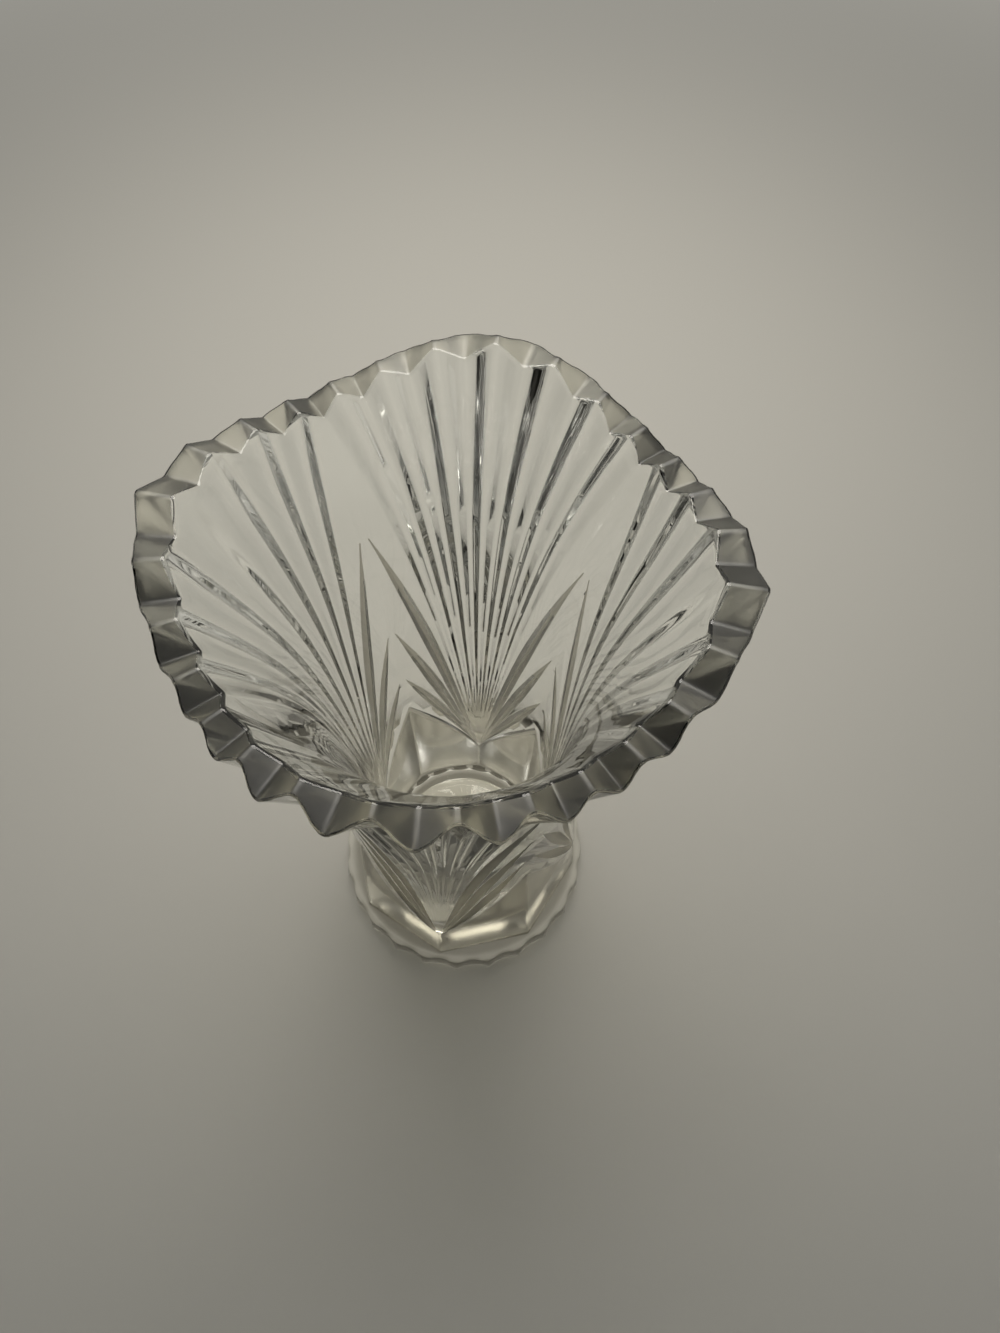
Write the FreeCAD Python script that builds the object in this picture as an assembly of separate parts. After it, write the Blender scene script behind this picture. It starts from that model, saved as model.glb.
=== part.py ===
import FreeCAD, Part
import math
import os

# Fan vase of thick clear pressed glass, in millimetres.
# The foot stands on z = 0 and the vase axis is the Z axis.
# Fan centres face +X, +Y, -X and -Y. The mould seams lie on the +X and -X sides.

# Overall sizes
vase_height = 250.0
corner_drop = 9.4
notch_depth = 4.2
tip_land_width = 1.3
rim_overrun = 8.0
cut_overrun = 4.0

# Cavity
floor_height = 22.0
floor_radius = 32.0
floor_corner_radius = 7.0
mouth_radius = 71.5

# Outside of the wall, taken over the ridges between the flutes
base_radius = 51.5
base_height = 28.0
mouth_outer_radius = 83.2

# Fan pattern
fan_count = 4
flutes_per_fan = 7
fan_spread = 1.95
fan_base_height = 39.0
ridge_land_width = 0.7
ridge_land_share = 0.3
flute_bottom_width = 1.1
flute_slope_share = 0.70
seam_power_share = 0.7
seam_least_share = 0.06
leaf_heights = [110.0, 141.0, 189.0]
leaf_tip_gap = 1.8
leaf_half_width = 2.9
leaf_bottom_width = 0.5
leaf_end_half_width = 0.35
leaf_slope_share = 0.90

# Flat panels between the fans and the foot, two to a fan
panel_peak_height = 90.0
panel_inset = 0.15
panel_overlap = 3.0

# Foot
foot_radius = 57.0
foot_top_radius = 55.6
foot_edge_height = 11.0
foot_height = 12.5
foot_shoulder_radius = 53.6
foot_tooth_count = 24
foot_tooth_depth = 2.3
foot_bottom_chamfer = 1.4
foot_recess_radius = 41.0
foot_recess_depth = 2.2

# Height where the flared lip begins
lip_height = 168.0

# Shares of the cavity, from its floor to the mouth: height, then radius
cavity_shares = [
    (0.0790, 0.023),
    (0.2105, 0.046),
    (0.2982, 0.071),
    (0.3860, 0.116),
    (0.5219, 0.190),
    (0.6300, 0.268),
    (0.7325, 0.380),
    (0.8509, 0.608),
    (0.9518, 0.873),
    (1.0000, 1.000),
]

# Shares of the outside, from the panels to the mouth: height, then radius
outside_shares = [
    (0.0000, 0.000),
    (0.0495, -0.028),
    (0.1441, -0.095),
    (0.2793, -0.151),
    (0.3694, -0.132),
    (0.5090, -0.038),
    (0.6200, 0.076),
    (0.7252, 0.213),
    (0.8468, 0.495),
    (0.9505, 0.820),
    (1.0000, 1.000),
]

# Shares of a flute's height where its cutter has a section
flute_station_shares = [0.05, 0.16, 0.34, 0.50, 0.64, 0.77, 0.89]

# Shares of a leaf's height, and of its full width there
leaf_station_shares = [
    (0.04, 0.00),
    (0.18, 0.38),
    (0.40, 0.80),
    (0.62, 1.00),
    (0.82, 0.66),
    (1.00, 0.00),
]

# Halving steps in the search for the outside radius at a height
radius_search_steps = 40


def spread_points(shares, start, end):
    """Profile points (radius, height) from shares of a start and an end point."""
    points = []
    for height_share, radius_share in shares:
        radius = start[0] + (end[0] - start[0]) * radius_share
        height = start[1] + (end[1] - start[1]) * height_share
        points.append((radius, height))
    return points


def profile_curve(points):
    """Smooth line through profile points, run on straight past the rim."""
    (low_radius, low_height), (radius, height) = points[-2:]
    slope = (radius - low_radius) / (height - low_height)
    past_rim = (radius + slope * rim_overrun, height + rim_overrun)
    curve = Part.BSplineCurve()
    curve.interpolate([FreeCAD.Vector(r, 0, z) for r, z in points + [past_rim]])
    return curve


cavity_points = spread_points(cavity_shares, (floor_radius, floor_height), (mouth_radius, vase_height))
outside_points = spread_points(
    outside_shares, (base_radius, base_height), (mouth_outer_radius, vase_height)
)
cavity_line = profile_curve(cavity_points)
outside_line = profile_curve(outside_points)
tooth_count = fan_count * flutes_per_fan
tooth_pitch = 360.0 / tooth_count
fan_pitch = 360.0 / fan_count


def outside_radius(height):
    """Radius of the smooth outside line at a height."""
    low = outside_line.FirstParameter
    high = outside_line.LastParameter
    for _ in range(radius_search_steps):
        middle = (low + high) / 2
        if outside_line.value(middle).z < height:
            low = middle
        else:
            high = middle
    return outside_line.value(low).x


def on_circle(radius, angle, height):
    """Point at a radius, an angle in degrees and a height."""
    turn = math.radians(angle)
    return FreeCAD.Vector(radius * math.cos(turn), radius * math.sin(turn), height)


def tooth_angle(number):
    """Angle of a rim tooth in degrees. Teeth sit wider apart at the fan centres."""
    angle = number * tooth_pitch
    return angle + fan_spread * math.sin(math.radians(fan_count * angle))


def tip_height(angle):
    """Height of the rim at a tooth tip: high at the fan centres, low between them."""
    wave = (1 - math.cos(math.radians(fan_count * angle))) / 2
    return vase_height - corner_drop * wave


def seam_share(angle):
    """Share of the full flute depth at the rim, which fades out at the mould seams."""
    from_seam = abs(math.sin(math.radians(angle))) ** seam_power_share
    return seam_least_share + (1 - seam_least_share) * from_seam


def blank():
    """Whole vase without flutes, teeth and panels, as one turned solid."""
    outer_start = outside_line.value(outside_line.FirstParameter)
    outer_end = outside_line.value(outside_line.LastParameter)
    inner_start = cavity_line.value(cavity_line.FirstParameter)
    inner_end = cavity_line.value(cavity_line.LastParameter)
    recess_edge = FreeCAD.Vector(foot_recess_radius, 0, 0)
    recess_middle = FreeCAD.Vector(foot_recess_radius / 2, 0, foot_recess_depth * 3 / 4)
    recess_top = FreeCAD.Vector(0, 0, foot_recess_depth)
    corner_start = FreeCAD.Vector(floor_radius - floor_corner_radius, 0, floor_height)
    floor_middle = FreeCAD.Vector(0, 0, floor_height)
    corner = Part.BezierCurve()
    corner.setPoles([corner_start, FreeCAD.Vector(floor_radius, 0, floor_height), inner_start])
    foot_outline = [
        recess_edge,
        FreeCAD.Vector(foot_radius - foot_bottom_chamfer, 0, 0),
        FreeCAD.Vector(foot_radius, 0, foot_bottom_chamfer),
        FreeCAD.Vector(foot_top_radius, 0, foot_edge_height),
        FreeCAD.Vector(foot_shoulder_radius, 0, foot_height),
        outer_start,
    ]
    edges = [Part.Arc(recess_top, recess_middle, recess_edge).toShape()]
    for start, end in zip(foot_outline, foot_outline[1:]):
        edges.append(Part.makeLine(start, end))
    edges.append(outside_line.toShape())
    edges.append(Part.makeLine(outer_end, inner_end))
    edges.append(cavity_line.toShape())
    edges.append(corner.toShape())
    edges.append(Part.makeLine(corner_start, floor_middle))
    edges.append(Part.makeLine(floor_middle, recess_top))
    face = Part.Face(Part.Wire(Part.__sortEdges__(edges)))
    return face.revolve(FreeCAD.Vector(0, 0, 0), FreeCAD.Vector(0, 0, 1), 360)


def groove_section(angle, height, half_width, bottom_width, depth):
    """Closed level section of a groove cutter, with its open side outwards."""
    surface = outside_radius(height)
    bottom = bottom_width / 2
    turn = math.radians(angle)
    out = FreeCAD.Vector(math.cos(turn), math.sin(turn), 0)
    side = FreeCAD.Vector(-math.sin(turn), math.cos(turn), 0)
    lift = FreeCAD.Vector(0, 0, height)
    outer = surface + cut_overrun
    flare = half_width + (half_width - bottom) * cut_overrun / depth
    corners = [
        out * outer + side * flare + lift,
        out * (surface - depth) + side * bottom + lift,
        out * (surface - depth) - side * bottom + lift,
        out * outer - side * flare + lift,
    ]
    return Part.makePolygon(corners + [corners[0]])


def flute_cutter(number):
    """Cutter of a long flute, which runs from the fan base out through the rim."""
    fan_angle = fan_pitch * round(number / flutes_per_fan)
    rim_angle = tooth_angle(number)
    seam = seam_share(rim_angle)
    gap = min(tooth_angle(number + 1) - rim_angle, rim_angle - tooth_angle(number - 1))
    rise = tip_height(rim_angle) - fan_base_height
    past_rim = 1 + rim_overrun / rise
    sections = []
    for share in flute_station_shares + [past_rim]:
        height = fan_base_height + rise * share
        angle = fan_angle + (rim_angle - fan_angle) * share
        reach = outside_radius(height) * math.radians(gap * min(share, 1)) / 2
        half_width = reach - min(ridge_land_width / 2, reach * ridge_land_share)
        depth = half_width * flute_slope_share * (1 - (1 - seam) * min(share, 1) ** 2)
        bottom_width = min(flute_bottom_width, half_width)
        sections.append(groove_section(angle, height, half_width, bottom_width, depth))
    return Part.makeLoft(sections, True, True)


def leaf_cutter(fan, side, tip):
    """Cutter of a short pointed leaf, which ends beside the line between two fans."""
    fan_angle = fan_pitch * fan
    rise = tip - fan_base_height
    tip_gap = math.degrees(leaf_tip_gap / outside_radius(tip))
    reach = side * (fan_pitch / 2 - tip_gap)
    sections = []
    for share, width_share in leaf_station_shares:
        height = fan_base_height + rise * share
        angle = fan_angle + reach * share
        half_width = leaf_end_half_width + (leaf_half_width - leaf_end_half_width) * width_share
        bottom_width = min(leaf_bottom_width, half_width)
        sections.append(groove_section(angle, height, half_width, bottom_width, half_width * leaf_slope_share))
    return Part.makeLoft(sections, True, True)


def rim_lines():
    """Radial lines over the rim, as pairs of an angle and a height, once round."""
    lines = []
    half_land = math.degrees(tip_land_width / mouth_outer_radius) / 2
    for number in range(tooth_count):
        angle = tooth_angle(number)
        next_angle = tooth_angle(number + 1)
        notch_angle = (angle + next_angle) / 2
        lines.append((angle - half_land, tip_height(angle)))
        lines.append((angle + half_land, tip_height(angle)))
        lines.append((notch_angle, tip_height(notch_angle) - notch_depth))
    return lines


def rim_cutter():
    """Ring above the rim whose underside has the sawtooth shape."""
    inner = cavity_points[-3][0] - cut_overrun
    outer = mouth_outer_radius + rim_overrun + cut_overrun
    top = vase_height + rim_overrun + cut_overrun
    lines = rim_lines()
    faces = []
    for (angle, height), (next_angle, next_height) in zip(lines, lines[1:] + lines[:1]):
        low = [on_circle(inner, angle, height), on_circle(outer, angle, height)]
        next_low = [on_circle(inner, next_angle, next_height), on_circle(outer, next_angle, next_height)]
        high = [on_circle(inner, angle, top), on_circle(outer, angle, top)]
        next_high = [on_circle(inner, next_angle, top), on_circle(outer, next_angle, top)]
        faces.append(Part.makeRuledSurface(Part.makeLine(*low), Part.makeLine(*next_low)))
        for ring in (
            [low[0], high[0], next_high[0], next_low[0]],
            [low[1], high[1], next_high[1], next_low[1]],
            [high[0], high[1], next_high[1], next_high[0]],
        ):
            faces.append(Part.Face(Part.makePolygon(ring + [ring[0]])))
    shell = Part.Shell(faces)
    shell.sewShape()
    ring = Part.Solid(shell)
    if ring.Volume < 0:
        ring.reverse()
    return ring


def panel_cutter(fan, side):
    """Cutter of a flat leaning panel, whose top edge climbs from a fan's base to a peak beside it."""
    half_angle = fan_pitch / 4
    narrow = math.cos(math.radians(half_angle))
    spread = math.tan(math.radians(half_angle))
    base_apothem = (outside_radius(fan_base_height) - panel_inset) * narrow
    peak_apothem = (outside_radius(panel_peak_height) - panel_inset) * narrow
    lean = (base_apothem - peak_apothem) / (panel_peak_height - fan_base_height)
    foot_apothem = base_apothem + lean * (fan_base_height - foot_height)
    base = FreeCAD.Vector(base_apothem, -base_apothem * spread * side, fan_base_height)
    peak = FreeCAD.Vector(peak_apothem, peak_apothem * spread * side, panel_peak_height)
    overlap = (peak - base) * (panel_overlap / abs(peak.y - base.y))
    half_width = foot_apothem * spread + panel_overlap
    corners = [
        base - overlap,
        peak + overlap,
        FreeCAD.Vector(foot_apothem, half_width * side, foot_height),
        FreeCAD.Vector(foot_apothem, -half_width * side, foot_height),
    ]
    face = Part.Face(Part.makePolygon(corners + [corners[0]]))
    block = face.extrude(FreeCAD.Vector(foot_radius + cut_overrun - peak_apothem, 0, 0))
    block.rotate(FreeCAD.Vector(0, 0, 0), FreeCAD.Vector(0, 0, 1), fan_pitch * fan + half_angle * side)
    return block


def foot_tooth_cutter(number):
    """Upright cylinder that hollows the foot's edge between two points."""
    pitch = 360.0 / foot_tooth_count
    half_chord = foot_radius * math.sin(math.radians(pitch / 2))
    sagitta = foot_tooth_depth - foot_radius * (1 - math.cos(math.radians(pitch / 2)))
    radius = (half_chord ** 2 + sagitta ** 2) / (2 * sagitta)
    centre = on_circle(foot_radius - foot_tooth_depth + radius, pitch * number, -cut_overrun)
    return Part.makeCylinder(radius, foot_height + cut_overrun, centre)


def slab(low, high):
    """Wide disc between two heights."""
    radius = mouth_outer_radius + rim_overrun + cut_overrun
    return Part.makeCylinder(radius, high - low, FreeCAD.Vector(0, 0, low))


def main():
    vase = blank()
    flutes = [flute_cutter(number) for number in range(tooth_count)]
    leaves = []
    panels = []
    for fan in range(fan_count):
        for side in (-1, 1):
            panels.append(panel_cutter(fan, side))
            for tip in leaf_heights:
                leaves.append(leaf_cutter(fan, side, tip))
    vase = vase.cut(flutes)
    vase = vase.cut(leaves)
    vase = vase.cut(panels)
    vase = vase.cut([foot_tooth_cutter(number) for number in range(foot_tooth_count)])
    vase = vase.cut(rim_cutter())
    nodes = {
        "foot": vase.common(slab(-cut_overrun, foot_height)),
        "body": vase.common(slab(foot_height, lip_height)),
        "flared_lip": vase.common(slab(lip_height, vase_height + rim_overrun)),
    }
    os.makedirs("parts", exist_ok=True)
    for name, shape in nodes.items():
        print(name, shape.isValid(), len(shape.Solids), round(shape.Volume), len(shape.Faces), shape.BoundBox)
        shape.exportStep("parts/" + name + ".step")


main()
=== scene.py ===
"""Fan vase of clear pressed glass, standing on a plain pale floor.

The vase is one unbroken piece of glass, so one closed mesh stands for the foot,
the body and the flared lip together. Half a fan, an eighth of the way round, is
laid out from the axis of the foot over the outside and the rim to the floor of
the well. A Geometry Nodes tree mirrors and repeats it round the axis, welds it
and presses the grooves into the wall.
"""

import logging
import math
from collections.abc import Callable, Sequence
from dataclasses import dataclass, field
from enum import Enum
from functools import cached_property, partial

import bmesh
import bpy
import numpy as np
from mathutils import Matrix, Vector
from mathutils.geometry import delaunay_2d_cdt


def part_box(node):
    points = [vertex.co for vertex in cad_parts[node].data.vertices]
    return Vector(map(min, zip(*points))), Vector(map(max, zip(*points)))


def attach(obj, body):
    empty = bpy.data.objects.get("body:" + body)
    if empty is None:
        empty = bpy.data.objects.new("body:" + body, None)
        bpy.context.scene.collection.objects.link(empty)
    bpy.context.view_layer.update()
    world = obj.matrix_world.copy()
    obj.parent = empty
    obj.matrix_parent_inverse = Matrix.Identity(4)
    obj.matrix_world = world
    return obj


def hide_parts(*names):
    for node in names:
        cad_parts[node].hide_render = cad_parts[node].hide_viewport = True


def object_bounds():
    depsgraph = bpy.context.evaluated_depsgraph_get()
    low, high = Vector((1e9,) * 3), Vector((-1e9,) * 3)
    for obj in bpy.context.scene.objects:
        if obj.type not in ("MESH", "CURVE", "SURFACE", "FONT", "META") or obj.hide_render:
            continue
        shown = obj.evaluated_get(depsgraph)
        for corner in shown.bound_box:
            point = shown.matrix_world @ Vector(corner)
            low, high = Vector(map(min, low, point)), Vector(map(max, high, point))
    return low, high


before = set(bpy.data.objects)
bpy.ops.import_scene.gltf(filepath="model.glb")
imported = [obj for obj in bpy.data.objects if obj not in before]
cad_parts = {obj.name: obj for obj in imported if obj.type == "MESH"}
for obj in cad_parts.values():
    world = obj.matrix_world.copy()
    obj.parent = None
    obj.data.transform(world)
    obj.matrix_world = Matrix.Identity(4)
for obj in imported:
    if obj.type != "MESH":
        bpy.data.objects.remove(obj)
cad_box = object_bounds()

MM = 0.001
FULL_TURN = 360.0
TINY = 1e-6
# What the triangulation gives back: triangles inside the border
INSIDE_ONLY = 1
# Numbers of a colour Mix node's inputs, of which several share a name
MIX_SHARE, MIX_FIRST, MIX_SECOND = 0, 6, 7
log = logging.getLogger("fan_vase")

Array = np.ndarray
Shares = Sequence[tuple[float, float]]
Line = Callable[[float], float]


class Skin(Enum):
    """Share of the mould's satin skin that a face keeps, which also sets its grey tint of painted
    shade.
    """

    CLEAR = 0.0
    PANEL = 0.12
    RIM = 0.25
    LEAF = 1.0


def linear_colour(hex_code: str) -> tuple[float, float, float, float]:
    """Linear RGBA from an sRGB hex value.

    Args:
        hex_code: Colour as six hex digits after a hash sign.

    Returns:
        Linear red, green and blue, and an alpha of one.
    """
    values = [int(hex_code[i : i + 2], 16) / 255 for i in (1, 3, 5)]
    linear = [v / 12.92 if v <= 0.04045 else ((v + 0.055) / 1.055) ** 2.4 for v in values]
    return (*linear, 1.0)


def add_node(
    tree: bpy.types.NodeTree,
    kind: str,
    inputs: dict[str | int, object] | None = None,
    **settings: object,
) -> bpy.types.Node:
    """Add a node with its settings, values and links.

    Args:
        tree: Node tree that gets the node.
        kind: Blender's type name of the node.
        inputs: Socket names or numbers, each with a value, or with an output socket or a node to
            link from. A node gives the first output that its settings leave in use.
        **settings: Attribute values of the node.

    Returns:
        The new node.
    """
    node = tree.nodes.new(kind)
    for name, value in settings.items():
        setattr(node, name, value)
    for key, value in (inputs or {}).items():
        if isinstance(value, bpy.types.Node):
            value = next(socket for socket in value.outputs if socket.enabled)
        if isinstance(value, bpy.types.NodeSocket):
            tree.links.new(value, node.inputs[key])
        else:
            node.inputs[key].default_value = value
    return node


def empty_tree(owner: bpy.types.Material | bpy.types.World) -> bpy.types.NodeTree:
    """Node tree of a material or world, cleared of its first nodes.

    Args:
        owner: Material or world that the tree belongs to.

    Returns:
        The empty tree.
    """
    owner.use_nodes = True
    owner.node_tree.nodes.clear()
    return owner.node_tree


def place_object(name: str, data: bpy.types.ID) -> bpy.types.Object:
    """Make an object of a mesh, light or camera and link it to the scene.

    Args:
        name: Name of the object.
        data: Mesh, light or camera.

    Returns:
        The new object.
    """
    new = bpy.data.objects.new(name, data)
    bpy.context.scene.collection.objects.link(new)
    return new


@dataclass(frozen=True)
class Outline:
    """Smooth line of radius against height, in millimetres.

    It runs through points that are given as shares, of height and of radius, of the way from a
    start to an end, each a radius and a height.
    """

    shares: Shares
    start: tuple[float, float]
    end: tuple[float, float]

    @cached_property
    def heights(self) -> Array:
        """Heights of the points."""
        return self.start[1] + (self.end[1] - self.start[1]) * np.array(self.shares)[:, 0]

    @cached_property
    def radii(self) -> Array:
        """Radii of the points."""
        return self.start[0] + (self.end[0] - self.start[0]) * np.array(self.shares)[:, 1]

    @cached_property
    def bends(self) -> Array:
        """Second slope of the smooth line at each point, nil at both ends."""
        count = len(self.shares)
        gaps = np.diff(self.heights)
        slopes = np.diff(self.radii) / gaps
        system = np.eye(count)
        change = np.zeros(count)
        for i in range(1, count - 1):
            system[i, i - 1 : i + 2] = gaps[i - 1], 2 * (gaps[i - 1] + gaps[i]), gaps[i]
            change[i] = 6 * (slopes[i] - slopes[i - 1])
        return np.linalg.solve(system, change)

    def radius(self, height: Array | float) -> Array:
        """Radius at some heights, run on straight past the last point.

        Args:
            height: Height or heights in millimetres.

        Returns:
            The radius at each height.
        """
        inside = np.clip(height, self.heights[0], self.heights[-1])
        i = np.clip(np.searchsorted(self.heights, inside) - 1, 0, len(self.shares) - 2)
        gap = self.heights[i + 1] - self.heights[i]
        up = (inside - self.heights[i]) / gap
        down = 1 - up
        level = down * self.radii[i] + up * self.radii[i + 1]
        curve = (down**3 - down) * self.bends[i] + (up**3 - up) * self.bends[i + 1]
        last_gap = self.heights[-1] - self.heights[-2]
        last_slope = (self.radii[-1] - self.radii[-2]) / last_gap + self.bends[-2] * last_gap / 6
        return level + curve * gap**2 / 6 + (height - inside) * last_slope


@dataclass(frozen=True)
class Wall:
    """Outside and cavity of the vase, taken over the ridges of the pattern."""

    height: float
    base_radius: float = 51.5
    base_height: float = 28.0
    mouth_outer_radius: float = 83.2
    mouth_radius: float = 71.5
    floor_height: float = 22.0
    floor_radius: float = 32.0
    floor_corner_radius: float = 7.0
    cavity_shares: Shares = (
        (0.0790, 0.023), (0.2105, 0.046), (0.2982, 0.071), (0.3860, 0.116), (0.5219, 0.190),
        (0.6300, 0.268), (0.7325, 0.380), (0.8509, 0.608), (0.9518, 0.873), (1.0000, 1.000),
    )
    outside_shares: Shares = (
        (0.0000, 0.000), (0.0495, -0.028), (0.1441, -0.095), (0.2793, -0.151), (0.3694, -0.132),
        (0.5090, -0.038), (0.6200, 0.076), (0.7252, 0.213), (0.8468, 0.495), (0.9505, 0.820),
        (1.0000, 1.000),
    )

    @cached_property
    def outside(self) -> Outline:
        """Outside line from the ledge over the panels to the mouth."""
        start = (self.base_radius, self.base_height)
        return Outline(self.outside_shares, start, (self.mouth_outer_radius, self.height))

    @cached_property
    def cavity(self) -> Outline:
        """Cavity line from the floor's corner to the mouth."""
        start = (self.floor_radius, self.floor_height)
        return Outline(self.cavity_shares, start, (self.mouth_radius, self.height))


@dataclass(frozen=True)
class Rim:
    """Sawtooth rim: tips on the flutes, notches on the ridges, fire-polished edges."""

    height: float
    land_radius: float
    fans: int = 4
    flutes: int = 7
    spread: float = 1.95
    corner_drop: float = 9.4
    notch_depth: float = 4.2
    tip_land: float = 1.3
    notch_round: float = 1.1
    edge_round: float = 1.0

    def tooth_angle(self, number: int) -> float:
        """Angle in degrees of a tooth, counted from a fan's centre."""
        angle = number * FULL_TURN / (self.fans * self.flutes)
        return angle + self.spread * math.sin(math.radians(self.fans * angle))

    def notch_angle(self, number: int) -> float:
        """Angle in degrees of the notch after a tooth."""
        return (self.tooth_angle(number) + self.tooth_angle(number + 1)) / 2

    def crest(self, angle: Array | float) -> Array:
        """Height of a tooth tip at an angle: high at fan centres, low between them."""
        wave = (1 - np.cos(np.radians(self.fans * angle))) / 2
        return self.height - self.corner_drop * wave

    def top(self, angle: Array | float) -> Array:
        """Height of the rim at some angles of half a fan.

        Args:
            angle: Angles in degrees from the fan's centre, from nil to its edge.

        Returns:
            The sawtooth height at each angle, its notches slightly rounded.
        """
        half_land = math.degrees(self.tip_land / self.land_radius) / 2
        knots: list[float] = []
        heights: list[float] = []
        for number in range(self.flutes // 2 + 1):
            tip, notch = self.tooth_angle(number), self.notch_angle(number)
            knots += [tip - half_land, tip + half_land, notch]
            heights += [self.crest(tip), self.crest(tip), self.crest(notch) - self.notch_depth]
        level = np.interp(angle, knots, heights)
        reach = math.degrees(self.notch_round / self.land_radius)
        slope = self.notch_depth / ((self.notch_angle(1) - self.tooth_angle(1)) / reach)
        for notch in knots[2::3]:
            away = np.abs(angle - notch) / reach
            level = level + np.where(away < 1, slope * (1 - away) ** 2 / 2, 0)
        return level


@dataclass(frozen=True)
class Leaf:
    """Short pointed groove beside a fan's flutes, which ends at the line between two fans."""

    rim: Rim
    wall: Wall
    tip_height: float
    base_height: float
    tip_gap: float = 1.8
    half_width: float = 2.9
    end_half_width: float = 0.12
    bottom_half_width: float = 0.25
    slope: float = 0.90
    soft_share: float = 0.04
    width_shares: Shares = (
        (0.00, 0.00), (0.04, 0.00), (0.18, 0.38), (0.40, 0.80), (0.62, 1.00), (0.82, 0.66),
        (1.00, 0.00),
    )

    @cached_property
    def rise(self) -> float:
        """Height from the fan's base to the tip."""
        return self.tip_height - self.base_height

    def centre(self, height: Array | float) -> Array:
        """Angle in degrees of the middle line at some heights."""
        half_fan = FULL_TURN / self.rim.fans / 2
        gap = math.degrees(self.tip_gap / self.wall.outside.radius(self.tip_height))
        return (half_fan - gap) * (height - self.base_height) / self.rise

    def half(self, height: Array | float) -> Array:
        """Half width in millimetres at some heights."""
        share = (height - self.base_height) / self.rise
        # The mean of three places a little apart softens the bends of the outline
        steps = (-self.soft_share, 0.0, self.soft_share)
        below, across, above = (np.interp(share + step, *zip(*self.width_shares)) for step in steps)
        spread = self.half_width - self.end_half_width
        return self.end_half_width + spread * (across + (below + above)) / 3

    def depth(self, angle: Array, height: Array) -> Array:
        """Depth of the groove in millimetres at some places.

        Args:
            angle: Angles in degrees.
            height: Heights in millimetres.

        Returns:
            How far each place is pressed in.
        """
        across = np.radians(np.abs(angle - self.centre(height))) * self.wall.outside.radius(height)
        half = self.half(height)
        bottom = np.minimum(self.bottom_half_width, half * self.slope)
        deep = np.clip(half - across, 0, half - bottom) * self.slope
        return np.where((height > self.base_height) & (height < self.tip_height), deep, 0)


@dataclass(frozen=True)
class FanPattern:
    """Half a fan: long V flutes that spread from its base to the rim, with leaves beside them."""

    wall: Wall
    rim: Rim
    base_height: float = 39.0
    start_height: float = 45.0
    ridge_half_land: float = 0.35
    bottom_half_width: float = 0.55
    land_share: float = 0.3
    fire_polish: float = 0.7
    slope: float = 0.70
    leaf_heights: tuple[float, ...] = (110.0, 141.0, 189.0)

    @cached_property
    def leaves(self) -> list[Leaf]:
        """The short leaves, the lowest first."""
        return [Leaf(self.rim, self.wall, tip, self.base_height) for tip in self.leaf_heights]

    def edge(self, angle: Array | float) -> Array:
        """Height at which the outside turns over into the rim's rounded edge."""
        return self.rim.top(angle) - self.rim.edge_round

    def along(self, rim_angle: float, height: Array | float) -> Array:
        """Angle at some heights of a straight line from the fan's base to a rim angle."""
        rise = self.edge(rim_angle) - self.base_height
        return rim_angle * (height - self.base_height) / rise

    def share(self, rim_angle: float, height: Array | float) -> Array:
        """Share of the way up such a line, up to one."""
        rise = self.edge(rim_angle) - self.base_height
        return np.clip((height - self.base_height) / rise, 0, 1)

    def press(self, angle: Array, height: Array) -> tuple[Array, Array, Array]:
        """Depth of the pattern at some places of the outside.

        Args:
            angle: Angles in degrees from the fan's centre.
            height: Heights in millimetres.

        Returns:
            The depth in millimetres, the rim angle of the flute that a place is in, and the
            share of the way up it. Angle and share are nil off the flutes.
        """
        radius = self.wall.outside.radius(height)
        deepest = np.zeros_like(angle)
        flute_angle = np.zeros_like(angle)
        flute_share = np.zeros_like(angle)
        grow = np.clip((height - self.start_height) / (self.start_height - self.base_height), 0, 1)
        for number in range(self.rim.flutes // 2 + 1):
            rim_angle = self.rim.tooth_angle(number)
            middle = self.along(rim_angle, height)
            low = self.along(self.rim.notch_angle(number - 1), height)
            high = self.along(self.rim.notch_angle(number), height)
            narrow = np.radians(np.minimum(middle - low, high - middle)) * radius
            upper = angle > middle
            width = np.radians(np.where(upper, high - middle, middle - low)) * radius
            inset = np.radians(np.where(upper, high - angle, angle - low)) * radius
            land = np.minimum(self.ridge_half_land, width * self.land_share)
            bottom = np.minimum(self.bottom_half_width, width * self.land_share)
            full = self.slope * np.maximum(narrow - land - bottom, 0)
            run = np.maximum(width - land - bottom, TINY)
            down = np.clip((inset - land) / run, 0, 1)
            rounded = down * down * (3 - 2 * down)
            deep = full * (down + (rounded - down) * self.fire_polish) * grow
            here = (inset >= 0) & (height > self.start_height)
            deepest = np.where(here, deep, deepest)
            flute_angle = np.where(here, rim_angle, flute_angle)
            flute_share = np.where(here, self.share(rim_angle, height), flute_share)
        for leaf in self.leaves:
            deep = leaf.depth(angle, height)
            flute_share = np.where(deep > deepest, 0, flute_share)
            deepest = np.maximum(deepest, deep)
        return deepest, flute_angle, flute_share


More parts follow.
